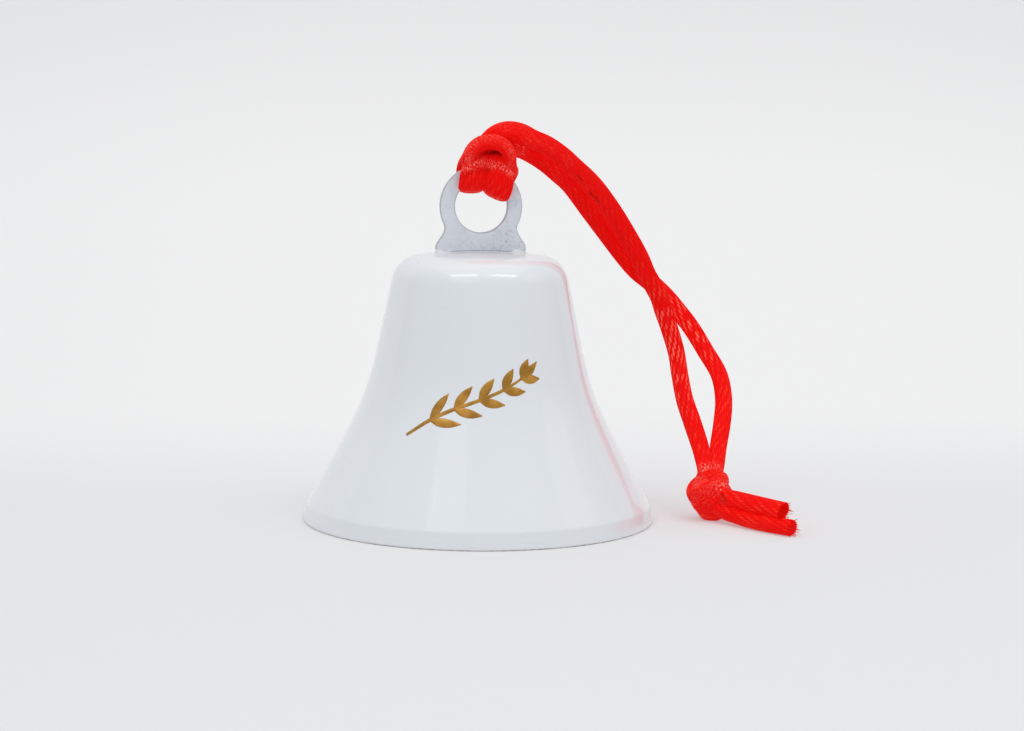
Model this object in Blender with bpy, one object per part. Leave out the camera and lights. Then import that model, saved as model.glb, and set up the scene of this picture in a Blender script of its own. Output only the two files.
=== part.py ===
"""A small pressed-metal bell: enamelled shell, stamped hanger, wire clapper and a knotted satin cord."""

import math

import bmesh
import bpy
import numpy as np
from mathutils import Vector

# Shell, in metres
RIM_RADIUS = 0.0225
SHELL_HEIGHT = 0.0345
WALL = 0.0008
CROWN_DOME_RADIUS = 0.080
SHOULDER_RADIUS = 0.0040
SHOULDER_REACH = 0.0113
SHOULDER_DRAFT = math.radians(12.3)
UPPER_PULL = 0.0156
LOWER_PULL = 0.0180
FLARE_ANGLE = math.radians(29.6)
LIP_HEIGHT = 0.0022
LIP_STEP = 0.00035

# Clearance between pieces that rest on, or pass through, one another
FIT_GAP = 0.0003

# Hanger plate
PLATE_THICKNESS = 0.0012
EYE_RADIUS = 0.00335
RING_WIDTH = 0.0019
EYE_RISE = 0.00545
NECK_DROP = 0.0029
FOOT_WIDTH = 0.0114
FOOT_EDGE = 0.0006
TANG_WIDTH = 0.0080
EAR_WIDTH = 0.0016
EAR_REACH = 0.0030

# Clapper
WIRE_RADIUS = 0.0006
EYE_PLAY = 0.0005
EYE_EDGE = 0.0010
PIVOT_DROP = 0.0041
CLAPPER_LENGTH = 0.0226
BALL_RADIUS = 0.0040
STOP_RADIUS = 0.0013
STOP_LENGTH = 0.0007
SHANK_LEAD = 0.0016

# Satin cord
CORD_RADIUS = 0.0010
HITCH_RADIUS = 0.00073
KNOT_RADIUS = 0.0029
KNOT_HALF_HEIGHT = 0.0030
KNOT_PLACE = Vector((0.0297, -0.0031, 0.0031))

# The cord's route, chosen by hand: the hitch round the hanger's ring, two legs down to the knot, two tails
HITCH_POINTS = [
    (0.0047, -0.0015, 0.0494), (0.0029, -0.0014, 0.0496), (0.0013, -0.0012, 0.0491),
    (-0.0002, -0.0012, 0.0481), (-0.0008, -0.0015, 0.0469), (-0.0009, -0.0021, 0.0457),
    (-0.00115, -0.0021, 0.0444), (-0.00125, -0.0017, 0.0431), (-0.0013, -0.0009, 0.0423),
    (-0.0013, 0.0001, 0.042), (-0.0014, 0.0011, 0.0424), (-0.0016, 0.0017, 0.0436),
    (-0.002, 0.0016, 0.0449), (-0.0024, 0.0009, 0.0459), (-0.0026, -0.0002, 0.0462),
    (-0.0027, -0.0014, 0.0463), (-0.0026, -0.0026, 0.0466), (-0.0019, -0.0033, 0.0473),
    (-0.0006, -0.0036, 0.0481), (0.0008, -0.0036, 0.0483), (0.0022, -0.0035, 0.0479),
    (0.0033, -0.0031, 0.047), (0.0039, -0.0023, 0.0459), (0.0041, -0.0012, 0.0452),
    (0.0041, -0.0001, 0.0449), (0.0038, 0.0012, 0.0445), (0.0032, 0.0018, 0.0434),
    (0.0026, 0.0016, 0.0422), (0.0023, 0.0008, 0.0416), (0.0023, -0.0002, 0.0414),
    (0.00235, -0.0012, 0.0418), (0.00235, -0.0019, 0.043), (0.0022, -0.0022, 0.0445),
    (0.0019, -0.0020, 0.0456), (0.0017, -0.0012, 0.0465), (0.0020, -0.0002, 0.0471),
    (0.0028, 0.0002, 0.0474), (0.0037, 0.0001, 0.0476), (0.0048, -0.0001, 0.0477),
]
LEFT_LEG_POINTS = [
    (0.0051, -0.0015, 0.0493), (0.0064, -0.0015, 0.0488), (0.0083, -0.0012, 0.0480),
    (0.0103, -0.0004, 0.0467), (0.0120, 0.0006, 0.0453), (0.0147, 0.0024, 0.0430),
    (0.0174, 0.0046, 0.0399), (0.0197, 0.0063, 0.0367), (0.0218, 0.0076, 0.0334),
    (0.0230, 0.0084, 0.0310), (0.0240, 0.0088, 0.0294), (0.0249, 0.0091, 0.0278),
    (0.0255, 0.0094, 0.0261), (0.0264, 0.0096, 0.0237), (0.0273, 0.0090, 0.0205),
    (0.0276, 0.0076, 0.0175), (0.0279, 0.0055, 0.0145), (0.0283, 0.0028, 0.0117),
    (0.0287, -0.0001, 0.0090), (0.0288, -0.0021, 0.0074), (0.0288, -0.0029, 0.0067),
]
RIGHT_LEG_POINTS = [
    (0.0052, 0.0001, 0.0476), (0.0064, 0.0008, 0.0470), (0.0084, 0.0016, 0.0458),
    (0.0102, 0.0025, 0.0444), (0.0121, 0.0038, 0.0428), (0.0148, 0.0060, 0.0396),
    (0.0175, 0.0081, 0.0364), (0.0202, 0.0100, 0.0332), (0.0222, 0.0110, 0.0311),
    (0.0246, 0.0113, 0.0292), (0.0263, 0.0113, 0.0276), (0.0277, 0.0112, 0.0260),
    (0.0296, 0.0109, 0.0236), (0.0315, 0.0098, 0.0204), (0.0330, 0.0081, 0.0175),
    (0.0332, 0.0058, 0.0145), (0.0327, 0.0032, 0.0117), (0.0319, 0.0005, 0.0090),
    (0.0312, -0.0016, 0.0074), (0.0309, -0.0025, 0.0067),
]
UPPER_TAIL_POINTS = [
    (0.0315, -0.0057, 0.0037), (0.0326, -0.0069, 0.0036), (0.0339, -0.0087, 0.0034),
    (0.0353, -0.0107, 0.0032), (0.0370, -0.0132, 0.0031),
]
LOWER_TAIL_POINTS = [
    (0.0312, -0.0060, 0.0016), (0.0323, -0.0075, 0.0013), (0.0337, -0.0098, 0.0011),
    (0.0354, -0.0123, 0.00105), (0.0376, -0.0150, 0.00105),
]

# Facets
SHELL_SEGMENTS = 64
CROWN_STEPS = 2
SHOULDER_STEPS = 5
FLARE_STEPS = 11
RING_STEPS = 36
EYE_SEGMENTS = 32
BALL_SEGMENTS = 32
BALL_STEPS = 14
WIRE_STEP = 0.0006
HITCH_STEP = 0.0010
CORD_STEP = 0.0045
MERGE = 0.00001


def clear_scene():
    for thing in list(bpy.data.objects):
        bpy.data.objects.remove(thing, do_unlink=True)


def finish_material(name, colour, roughness, metallic):
    material = bpy.data.materials.new(name)
    material.use_nodes = True
    shader = material.node_tree.nodes["Principled BSDF"]
    shader.inputs["Base Color"].default_value = (*colour, 1.0)
    shader.inputs["Roughness"].default_value = roughness
    shader.inputs["Metallic"].default_value = metallic
    return material


def add_object(name, data, material=None, parent=None, location=(0, 0, 0)):
    thing = bpy.data.objects.new(name, data)
    bpy.context.scene.collection.objects.link(thing)
    thing.location = location
    thing.parent = parent
    if material:
        data.materials.append(material)
    return thing


def add_helper(name, mesh):
    """A cutter or an added block, which shows only through the Boolean that uses it."""
    helper = add_object(name, mesh)
    helper.hide_render = True
    helper.display_type = "WIRE"
    return helper


def add_boolean(thing, helper, operation):
    modifier = thing.modifiers.new(helper.name, "BOOLEAN")
    modifier.operation = operation
    modifier.object = helper


def box_mesh(name, low, high):
    shape = bmesh.new()
    bmesh.ops.create_cube(shape, size=1.0)
    for vertex in shape.verts:
        vertex.co = [a + (b - a) * (c + 0.5) for a, b, c in zip(low, high, vertex.co)]
    mesh = bpy.data.meshes.new(name)
    shape.to_mesh(mesh)
    shape.free()
    return mesh


def add_turned(name, profile, segments, material, closed=False, parent=None, location=(0, 0, 0)):
    """Turns a profile of (radius, height) points round +Z."""
    count = len(profile)
    edges = [(i, i + 1) for i in range(count - 1)]
    if closed:
        edges.append((count - 1, 0))
    mesh = bpy.data.meshes.new(name)
    mesh.from_pydata([(r, 0.0, z) for r, z in profile], edges, [])
    thing = add_object(name, mesh, material, parent, location)
    screw = thing.modifiers.new("turn", "SCREW")
    screw.steps = segments
    screw.render_steps = segments
    screw.use_smooth_shade = True
    screw.use_merge_vertices = True
    screw.merge_threshold = MERGE
    return thing


def add_tube(name, route, radius, material, resolution, thickness=None, parent=None, location=(0, 0, 0)):
    """A round tube with filled ends along the route's points."""
    curve = bpy.data.curves.new(name, "CURVE")
    curve.dimensions = "3D"
    curve.bevel_depth = radius
    curve.bevel_resolution = resolution
    curve.use_fill_caps = True
    spline = curve.splines.new("POLY")
    spline.points.add(len(route) - 1)
    for i, place in enumerate(route):
        spline.points[i].co = (*place, 1.0)
        spline.points[i].radius = thickness[i] if thickness else 1.0
    return add_object(name, curve, material, parent, location)


def smooth_route(points, step):
    """Points a step apart along a Catmull-Rom curve through the given ones."""
    knots = np.array([2 * np.array(points[0]) - points[1], *points, 2 * np.array(points[-1]) - points[-2]])
    fine = []
    for a, b, c, d in zip(knots, knots[1:], knots[2:], knots[3:]):
        for t in np.linspace(0, 1, 24, endpoint=False):
            fine.append(0.5 * (2 * b + (c - a) * t + (2 * a - 5 * b + 4 * c - d) * t**2
                               + (3 * b - a - 3 * c + d) * t**3))
    fine = np.array([*fine, knots[-2]])
    along = np.concatenate([[0.0], np.cumsum(np.linalg.norm(np.diff(fine, axis=0), axis=1))])
    stops = np.linspace(0, along[-1], max(2, round(along[-1] / step)) + 1)
    return np.stack([np.interp(stops, along, fine[:, axis]) for axis in range(3)], axis=1).tolist()


def shoulder_centre():
    radius = SHOULDER_REACH - SHOULDER_RADIUS * math.cos(SHOULDER_DRAFT)
    span = CROWN_DOME_RADIUS - SHOULDER_RADIUS
    return radius, SHELL_HEIGHT - CROWN_DOME_RADIUS + math.sqrt(span**2 - radius**2)


def dome_height(radius, depth=0.0):
    """Height of the crown at this radius, on the outer face or at a depth below it."""
    dome = CROWN_DOME_RADIUS - depth
    return SHELL_HEIGHT - CROWN_DOME_RADIUS + math.sqrt(dome**2 - radius**2)


def shell_outside():
    """(point, outward normal) pairs from the crown's middle down to the rim."""
    centre = Vector(shoulder_centre())
    meet = math.asin(centre.x / (CROWN_DOME_RADIUS - SHOULDER_RADIUS))
    pairs = []
    for i in range(CROWN_STEPS):
        angle = meet * i / CROWN_STEPS
        normal = Vector((math.sin(angle), math.cos(angle)))
        pairs.append((Vector((0, SHELL_HEIGHT - CROWN_DOME_RADIUS)) + CROWN_DOME_RADIUS * normal, normal))
    for i in range(SHOULDER_STEPS + 1):
        angle = meet + (math.pi / 2 - SHOULDER_DRAFT - meet) * i / SHOULDER_STEPS
        normal = Vector((math.sin(angle), math.cos(angle)))
        pairs.append((centre + SHOULDER_RADIUS * normal, normal))
    top = pairs[-1][0]
    lip = Vector((RIM_RADIUS - LIP_STEP, LIP_HEIGHT))
    handles = (
        top,
        top + UPPER_PULL * Vector((math.sin(SHOULDER_DRAFT), -math.cos(SHOULDER_DRAFT))),
        lip - LOWER_PULL * Vector((math.sin(FLARE_ANGLE), -math.cos(FLARE_ANGLE))),
        lip,
    )
    for i in range(1, FLARE_STEPS + 1):
        t = i / FLARE_STEPS
        weights = ((1 - t) ** 3, 3 * t * (1 - t) ** 2, 3 * t * t * (1 - t), t**3)
        slopes = (-((1 - t) ** 2), (1 - t) * (1 - 3 * t), t * (2 - 3 * t), t * t)
        point = sum((w * h for w, h in zip(weights, handles)), Vector((0, 0)))
        run = sum((w * h for w, h in zip(slopes, handles)), Vector((0, 0))).normalized()
        pairs.append((point, Vector((-run.y, run.x))))
    return pairs


def make_shell(material):
    outside = shell_outside()
    profile = [tuple(point) for point, _ in outside]
    profile.append((RIM_RADIUS, 0.0))
    profile.append((RIM_RADIUS - WALL, 0.0))
    profile += [tuple(point - WALL * normal) for point, normal in reversed(outside)]
    shell = add_turned("bell_shell", profile, SHELL_SEGMENTS, material)
    slot = (TANG_WIDTH / 2 + FIT_GAP, PLATE_THICKNESS / 2 + FIT_GAP)
    low = (-slot[0], -slot[1], dome_height(TANG_WIDTH, WALL) - WALL)
    high = (slot[0], slot[1], SHELL_HEIGHT + WALL)
    add_boolean(shell, add_helper("crown_slot", box_mesh("crown_slot", low, high)), "DIFFERENCE")
    return shell


def arc(centre, radius, start, end, steps):
    angles = [start + (end - start) * i / steps for i in range(steps + 1)]
    return [(centre[0] + radius * math.cos(a), centre[1] + radius * math.sin(a)) for a in angles]


def ear_levels():
    """Upper and lower height of the ears, which lie under the crown's inner face."""
    top = dome_height(math.hypot(TANG_WIDTH / 2, EAR_REACH), WALL) - FIT_GAP
    return top, top - PLATE_THICKNESS


def pivot_height():
    return SHELL_HEIGHT - WALL - PIVOT_DROP


def clapper_eye_radius():
    return WIRE_RADIUS + EYE_PLAY


def hanger_outline(seat, eye):
    """The plate seen from the front, from the foot's right corner over the ring and down the tang."""
    ring = EYE_RADIUS + RING_WIDTH
    neck = -math.asin(NECK_DROP / ring)
    finger = clapper_eye_radius() + EYE_EDGE
    half_foot = FOOT_WIDTH / 2
    half_tang = TANG_WIDTH / 2
    ear_bottom = ear_levels()[1]
    outline = [(half_tang, seat), (half_foot - FOOT_EDGE / 2, seat), (half_foot, seat + FOOT_EDGE)]
    outline += arc((0, eye), ring, neck, math.pi - neck, RING_STEPS)
    outline += [(-half_foot, seat + FOOT_EDGE), (-half_foot + FOOT_EDGE / 2, seat), (-half_tang, seat)]
    outline += [(-half_tang, ear_bottom), (-finger, ear_bottom)]
    outline += arc((0, pivot_height()), finger, math.pi, 2 * math.pi, EYE_SEGMENTS // 2)
    outline += [(finger, ear_bottom), (half_tang, ear_bottom)]
    return outline


def make_hanger(material):
    seat = SHELL_HEIGHT + FIT_GAP
    eye = seat + EYE_RISE
    holes = [
        arc((0, eye), EYE_RADIUS, 0, 2 * math.pi, EYE_SEGMENTS)[:-1],
        arc((0, pivot_height()), clapper_eye_radius(), 0, 2 * math.pi, EYE_SEGMENTS)[:-1],
    ]
    shape = bmesh.new()
    for loop in [hanger_outline(seat, eye), *holes]:
        corners = [shape.verts.new((x, -PLATE_THICKNESS / 2, z)) for x, z in loop]
        for i, corner in enumerate(corners):
            shape.edges.new((corner, corners[(i + 1) % len(corners)]))
    face = bmesh.ops.triangle_fill(shape, edges=shape.edges[:], use_beauty=True, normal=(0, -1, 0))
    faces = [thing for thing in face["geom"] if isinstance(thing, bmesh.types.BMFace)]
    back = bmesh.ops.extrude_face_region(shape, geom=faces)["geom"]
    moved = [thing for thing in back if isinstance(thing, bmesh.types.BMVert)]
    bmesh.ops.translate(shape, verts=moved, vec=(0, PLATE_THICKNESS, 0))
    bmesh.ops.recalc_face_normals(shape, faces=shape.faces[:])
    mesh = bpy.data.meshes.new("hanger_plate")
    shape.to_mesh(mesh)
    shape.free()
    hanger = add_object("hanger_plate", mesh, material)
    top, bottom = ear_levels()
    for side in (-1, 1):
        across = sorted((side * TANG_WIDTH / 2, side * (TANG_WIDTH / 2 - EAR_WIDTH)))
        reach = sorted((0.0, side * EAR_REACH))
        ear = box_mesh("ear", (across[0], reach[0], bottom), (across[1], reach[1], top))
        add_boolean(hanger, add_helper("ear_back" if side > 0 else "ear_front", ear), "UNION")
    return hanger


def hook_radius():
    """Smallest bend of the clapper's hook that clears the plate round its eye."""
    eye = clapper_eye_radius()
    wire = WIRE_RADIUS + FIT_GAP
    return ((PLATE_THICKNESS / 2) ** 2 + eye**2 - wire**2) / (2 * (eye - wire))


def make_clapper(wire_material, ball_material):
    """The hooked wire and the ball on it, hung from an empty on the swing axis."""
    pivot = bpy.data.objects.new("clapper_pivot", None)
    bpy.context.scene.collection.objects.link(pivot)
    pivot.location = (0, 0, pivot_height())
    bend = hook_radius()
    bore = WIRE_RADIUS + FIT_GAP
    half_bore = math.sqrt(BALL_RADIUS**2 - bore**2)
    turns = np.radians((305, 270, 225, 180, 135, 90, 50))
    hook = [(0, bend * math.sin(a), -bend - bend * math.cos(a)) for a in turns]
    shank_top = -2 * bend - SHANK_LEAD
    upper_stop = half_bore + FIT_GAP + STOP_LENGTH - CLAPPER_LENGTH
    route = smooth_route([*hook, (0, 0, shank_top)], WIRE_STEP)
    thickness = [1.0] * len(route)
    stop = STOP_RADIUS / WIRE_RADIUS
    ease = STOP_LENGTH / 10
    lower_stop = -CLAPPER_LENGTH - half_bore - FIT_GAP
    for height, scale in (
        (upper_stop, 1.0), (upper_stop - ease, stop), (upper_stop - STOP_LENGTH, stop),
        (upper_stop - STOP_LENGTH - ease, 1.0), (lower_stop + ease, 1.0), (lower_stop, stop),
        (lower_stop - STOP_LENGTH, stop),
    ):
        route.append((0, 0, height))
        thickness.append(scale)
    add_tube("clapper_rod", route, WIRE_RADIUS, wire_material, 3, thickness, pivot)
    low = math.acos(half_bore / BALL_RADIUS)
    ball = [
        (BALL_RADIUS * math.sin(a), BALL_RADIUS * math.cos(a))
        for a in np.linspace(low, math.pi - low, BALL_STEPS + 1)
    ]
    add_turned("clapper_ball", ball, BALL_SEGMENTS, ball_material, True, pivot, (0, 0, -CLAPPER_LENGTH))


def least_gap(route, radius):
    """The least gap between stretches of one tube that lie more than four diameters apart along it."""
    places = np.array(route)
    along = np.concatenate([[0.0], np.cumsum(np.linalg.norm(np.diff(places, axis=0), axis=1))])
    apart = np.linalg.norm(places[:, None] - places[None], axis=2)
    far = np.abs(along[:, None] - along[None]) > 8 * radius
    return apart[far].min() - 2 * radius


def make_cord(material):
    hitch = smooth_route(HITCH_POINTS, HITCH_STEP)
    add_tube("cord_hitch", hitch, HITCH_RADIUS, material, 2)
    print(f"least gap of the hitch to itself: {1000 * least_gap(hitch, HITCH_RADIUS):.2f} mm")
    for name, points in (
        ("cord_leg_left", LEFT_LEG_POINTS), ("cord_leg_right", RIGHT_LEG_POINTS),
        ("cord_tail_upper", UPPER_TAIL_POINTS), ("cord_tail_lower", LOWER_TAIL_POINTS),
    ):
        add_tube(name, smooth_route(points, CORD_STEP), CORD_RADIUS, material, 2)
    turns = np.linspace(0, math.pi, BALL_STEPS + 1)
    knot = [(KNOT_RADIUS * math.sin(a), KNOT_HALF_HEIGHT * math.cos(a)) for a in turns]
    knot[0] = (0.0, KNOT_HALF_HEIGHT)
    knot[-1] = (0.0, -KNOT_HALF_HEIGHT)
    add_turned("cord_knot", knot, BALL_SEGMENTS, material, location=KNOT_PLACE)


def main():
    clear_scene()
    make_shell(finish_material("white_enamel", (0.82, 0.83, 0.84), 0.08, 0.0))
    make_hanger(finish_material("grey_plate", (0.60, 0.63, 0.67), 0.38, 0.2))
    steel = finish_material("plated_steel", (0.62, 0.61, 0.58), 0.25, 1.0)
    make_clapper(steel, finish_material("plated_ball", (0.66, 0.65, 0.62), 0.18, 1.0))
    make_cord(finish_material("red_satin", (0.84, 0.01, 0.008), 0.45, 0.0))


main()
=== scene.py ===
"""Looks of a small white bell: enamelled shell, speckled plate, steel clapper and red satin cord."""

from math import acos, asin, cos, hypot, pi, radians, sin, sqrt

import bmesh
import bpy
import numpy as np
from mathutils import Matrix, Quaternion, Vector


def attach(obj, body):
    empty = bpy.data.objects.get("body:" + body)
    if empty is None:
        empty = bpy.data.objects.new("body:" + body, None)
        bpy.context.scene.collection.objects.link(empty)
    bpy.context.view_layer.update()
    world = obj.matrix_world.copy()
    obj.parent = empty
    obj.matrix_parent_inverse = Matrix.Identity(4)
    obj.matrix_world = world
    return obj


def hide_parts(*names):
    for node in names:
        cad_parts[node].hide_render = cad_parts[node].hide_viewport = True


# Shell, in metres, as in the part's source
RIM_RADIUS = 0.0225
SHELL_HEIGHT = 0.0345
WALL = 0.0008
CROWN_DOME_RADIUS = 0.080
SHOULDER_RADIUS = 0.0040
SHOULDER_REACH = 0.0113
SHOULDER_DRAFT = radians(12.3)
UPPER_PULL = 0.0156
LOWER_PULL = 0.0180
FLARE_ANGLE = radians(29.6)
LIP_HEIGHT = 0.0022
LIP_STEP = 0.00035
RIM_ROUND = 0.00030
FIT_GAP = 0.0003
# How many steps the crown, the shoulder and the flare are drawn in, and how many round the bell
SHELL_STEPS = (6, 16, 48)
SHELL_SEGMENTS = 192
# The lip's crease is drawn between these distances from its corner
CREASE_FAR = 0.00022
CREASE_NEAR = 0.00007

# Hanger plate
PLATE_THICKNESS = 0.0012
EYE_RADIUS = 0.00335
RING_WIDTH = 0.0019
EYE_RISE = 0.00545
NECK_DROP = 0.0029
FOOT_WIDTH = 0.0114
FOOT_EDGE = 0.0006
TANG_WIDTH = 0.0080
EAR_WIDTH = 0.0016
EAR_REACH = 0.0030
PLATE_ROUND = 0.00024
FOOT_SUNK = 0.0002
NECK_LEAVES = radians(9)
FOOT_BULGE = 0.0001
FOOT_CORNER = 0.7 * FOOT_EDGE
# How much of the flank, from the neck and from the foot, goes into the soft corners there
NECK_SHARE = 0.42
FOOT_SHARE = 0.16
# What lies deeper than this below the plate's faces is its edge
EDGE_DEPTH = 0.00001
# The bead of enamel along the foot: its width, what its ends add to that, and how far they reach
FILLET_WIDTH = 0.00022
FILLET_END = 0.00042
FILLET_REACH = 0.0010
FILLET_INSET = 0.0003
FILLET_TURN = 0.0002
FILLET_SUNK = 0.00004

# Clapper
WIRE_RADIUS = 0.0006
EYE_PLAY = 0.0005
EYE_EDGE = 0.0010
PIVOT_DROP = 0.0041
CLAPPER_LENGTH = 0.0226
BALL_RADIUS = 0.0040
STOP_RADIUS = 0.0013
STOP_LENGTH = 0.0007
STOP_ROUND = 0.0002
SHANK_LEAD = 0.0016
WIRE_STEP = 0.0002
HOOK_ANGLES = np.radians((305, 270, 225, 180, 135, 90, 50))

# Satin cord
CORD_WIDTH = 0.0026
CORD_DEPTH = 0.0014
CORD_SECTION = 3.6e-6
CORD_STEP = 0.00035
# UV across runs once round the cord, and UV along by this much to a metre
UV_LENGTH = 100
# The path kept for each half of the cord takes one in so many places
PATH_SKIP = 4
CORD_RIBS = 30
CORD_SIDES = 120
DASH_STRIPS = 26
DASH_LENGTH = 0.19
RIB_RISE = 0.012
# Scales the cord's curvature to the strength of its painted glints
BEND_SCALE = 0.0008
# Below 1 this power makes a swept section fuller than an ellipse
SECTION_POWER = 0.85
HITCH_THINNEST = 0.00105
HITCH_THICKEST = 0.0015
# The legs are narrower than the cord by the slack. They turn their flat side away, by degrees that
# are full at this height, and the right one narrows further there.
LEG_SLACK = 0.00015
LEFT_TURN = 38
RIGHT_TURN = 12
RIGHT_PINCH = 0.00014
TURN_HEIGHT = 0.019
TURN_SPREAD = 0.010
# Where the knot grips the legs, over what height and by how much
GRIP_HEIGHT = 0.0055
GRIP_SPREAD = 0.0035
GRIP_PINCH = 0.00045
# The way the flat side faces, the width and the depth
UPPER_TAIL_LIE = ((-0.3, -0.75, 0.6), 0.0025, 0.0018)
LOWER_TAIL_LIE = ((-0.2, -0.45, 0.85), 0.0022, 0.0019)
KNOT_LIE = ((0.0, -0.8, 0.4), 0.0020, 0.0014)
# Loose threads: how many to a square metre, their length and lean, and the ring they stand on
FRAY_THREADS = 5.0e7
FRAY_LENGTH = 0.0011
FRAY_LEAN = 0.5
FRAY_INSET = 0.0001
FRAY_RING = (0.97, 0.74)
FRAY_SIDES = 32
FRAY_SEED = 7
THREAD_SIDES = 6
THREAD_ROOT = 0.00006
THREAD_TIP = 0.000025
SHORTEST_THREAD = 0.4
FLOOR_GAP = 0.00004

# Knot: the slant of its core and turns, and each turn's normal, lift, reach, width and depth
KNOT_PLACE = np.array((0.0299, -0.0031, 0.0031))
# How strongly the painted glints show on the knot's core
KNOT_SHINE = 0.35
KNOT_SLANT = (0.58, 0.16, -0.80)
KNOT_CORE_RADIUS = 0.00275
KNOT_CORE_LENGTH = 0.0029
KNOT_TURNS = {
    "knot_turn_a": (KNOT_SLANT, 0.0010, 0.00180, 0.0034, 0.0017),
    "knot_turn_b": (KNOT_SLANT, -0.0009, 0.00178, 0.0034, 0.0017),
    "knot_collar": ((0.10, 0.22, 0.96), 0.0018, 0.00136, 0.0027, 0.0016),
}

# Marks of painted glints and painted shade on the cord, in millimetres. The hitch's front strands lie
# between these places.
STRAND_RIGHT = 4
STRAND_FRONT, STRAND_BACK = -2.9, -1.2
STRAND_LOW, STRAND_HIGH = 41, 47.8
# A bow of painted glints crosses the strands, with a row of painted shade under its left half: height and
# width of each
BOW_MIDDLE = 0.1
BOW_SAG = 0.105
GLINT_BOW = (45.8, 0.42)
DARK_BOW = (44.9, 0.28)
DARK_BOW_END = 1.0
DARK_BOW_SHADE = 0.25
# Painted shade in the fold under the hitch's band: height and width, middle and sag of its bow, middle and
# half length
FOLD = (47.2, 0.32)
FOLD_MIDDLE = 1.3
FOLD_SAG = 0.16
FOLD_LENGTH = (1.4, 1.7)
# Painted shade in the upper tail's open end: middle and half size along each axis
MOUTH = ((36.85, 0.30), (-12.95, 0.60), (2.8, 0.55))
MOUTH_SHADE = 0.75
# Painted shade along short folds seen from the front: both ends, across and up, and the width of each
LEG_CREASES = (((12.3, 44.3), (13.1, 43.6), 0.13), ((14.4, 41.9), (15.8, 40.6), 0.13))
CREASE_SHADE = 0.38
KNOT_TUCK = ((30.75, 3.7), (30.9, 3.0), 0.22)
TUCK_FRONT = -4
TUCK_SHADE = 0.5
# The knot's painted glints are strongest at this height, over this spread
KNOT_GLINT = (4.5, 1.0)

# Past each tail's end: an open mouth with a hollow behind it, and a rounded end
TAIL_TIPS = {
    "cord_first_half": ((0.00012, 0.93), (0.00010, 0.80), (-0.0004, 0.62), (-0.0009, 0.45)),
    "cord_second_half": ((0.00022, 0.94), (0.00036, 0.80), (0.00042, 0.55)),
}

# The cord's route, chosen in millimetres: the hitch round the ring, two legs, the knot and two tails
HITCH_POINTS = np.array([
    (4.7, -1.5, 49.6), (2.9, -1.4, 49.8), (1.3, -1.2, 49.2), (0.1, -1.2, 48.0), (-0.5, -1.6, 46.9),
    (-0.9, -2.1, 45.7), (-1.15, -2.1, 44.4), (-1.25, -1.7, 43.4), (-1.3, -0.9, 42.7), (-1.3, 0.1, 42.4),
    (-1.4, 1.1, 42.7), (-1.6, 1.7, 43.6), (-1.8, 1.6, 44.9), (-1.8, 0.9, 45.9), (-1.7, -0.2, 46.1),
    (-1.9, -1.4, 46.4), (-1.85, -2.5, 46.8), (-1.35, -3.1, 47.6), (-0.4, -3.4, 48.3), (1.0, -3.5, 48.5),
    (2.3, -3.4, 48.1), (3.2, -3.0, 47.1), (3.5, -2.2, 45.9), (3.7, -1.2, 45.2), (3.9, -0.1, 44.9),
    (3.8, 1.2, 44.5), (3.0, 1.8, 43.4), (2.2, 1.6, 42.3), (1.9, 0.8, 41.9), (1.8, -0.2, 41.7),
    (1.9, -1.2, 42.1), (2.1, -1.9, 43.1), (2.15, -2.2, 44.5), (1.9, -2.1, 45.8), (1.5, -1.5, 46.9),
    (1.8, -0.4, 47.4), (2.7, 0.0, 47.7), (3.7, 0.0, 47.8), (4.8, -0.1, 47.7),
]) / 1000
# The way the cord's flat side faces at each point of the hitch, and its width there in millimetres
HITCH_LIE = [
    (0.0, -1.0, 0.3, 2.6), (0.0, -1.0, 0.3, 2.5), (0.0, -1.0, 0.3, 2.2), (0.0, -1.0, 0.3, 1.9),
    (0.0, -1.0, 0.3, 2.4), (0.0, -1.0, 0.15, 3.1), (0.0, -1.0, 0.0, 3.4), (0.0, -0.9, -0.4, 3.4),
    (0.0, -0.5, -0.85, 3.3), (0.0, 0.05, -1.0, 3.2), (0.0, 0.6, -0.8, 3.0), (0.0, 1.0, -0.1, 2.8),
    (0.0, 0.9, 0.4, 2.4), (-0.2, 0.5, 0.85, 2.0), (-0.4, 0.0, 0.9, 2.0), (-0.6, -0.1, 0.75, 2.0),
    (-0.9, -0.2, 0.4, 2.0), (-0.75, -0.55, 0.35, 1.9), (-0.3, -0.9, 0.3, 1.9), (0.0, -1.0, 0.25, 1.9),
    (0.3, -0.9, 0.3, 1.9), (0.6, -0.75, 0.3, 1.8), (0.8, -0.45, 0.2, 1.8), (0.7, -0.1, 0.7, 1.7),
    (0.5, 0.0, 0.85, 1.8), (0.3, 0.6, 0.7, 2.2), (-0.1, 1.0, 0.1, 2.8), (-0.2, 0.9, -0.4, 3.1),
    (-0.3, 0.5, -0.8, 3.2), (-0.4, -0.1, -0.9, 3.3), (-0.35, -0.6, -0.75, 3.5), (0.0, -1.0, -0.2, 3.6),
    (0.0, -1.0, 0.0, 3.5), (0.0, -1.0, 0.2, 3.0), (0.0, -1.0, 0.3, 2.4), (0.0, -1.0, 0.3, 2.1),
    (0.0, -1.0, 0.3, 2.3), (0.0, -1.0, 0.3, 2.5), (0.0, -1.0, 0.3, 2.6),
]
LEFT_LEG_POINTS = np.array([
    (6.4, -1.5, 48.8), (8.3, -1.2, 48.0), (10.3, -0.4, 46.7), (12.0, 0.6, 45.3), (14.7, 2.4, 43.0),
    (17.4, 4.6, 39.9), (19.7, 6.3, 36.7), (21.8, 7.6, 33.4), (23.0, 8.4, 31.0), (24.0, 8.8, 29.4),
    (24.9, 9.1, 27.8), (25.5, 9.4, 26.1), (26.4, 9.6, 23.7), (27.3, 9.0, 20.5), (27.6, 7.6, 17.5),
    (27.9, 5.5, 14.5), (28.5, 2.8, 11.7), (29.0, -0.1, 9.0), (29.1, -2.2, 7.2), (29.1, -3.0, 6.4),
]) / 1000
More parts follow.
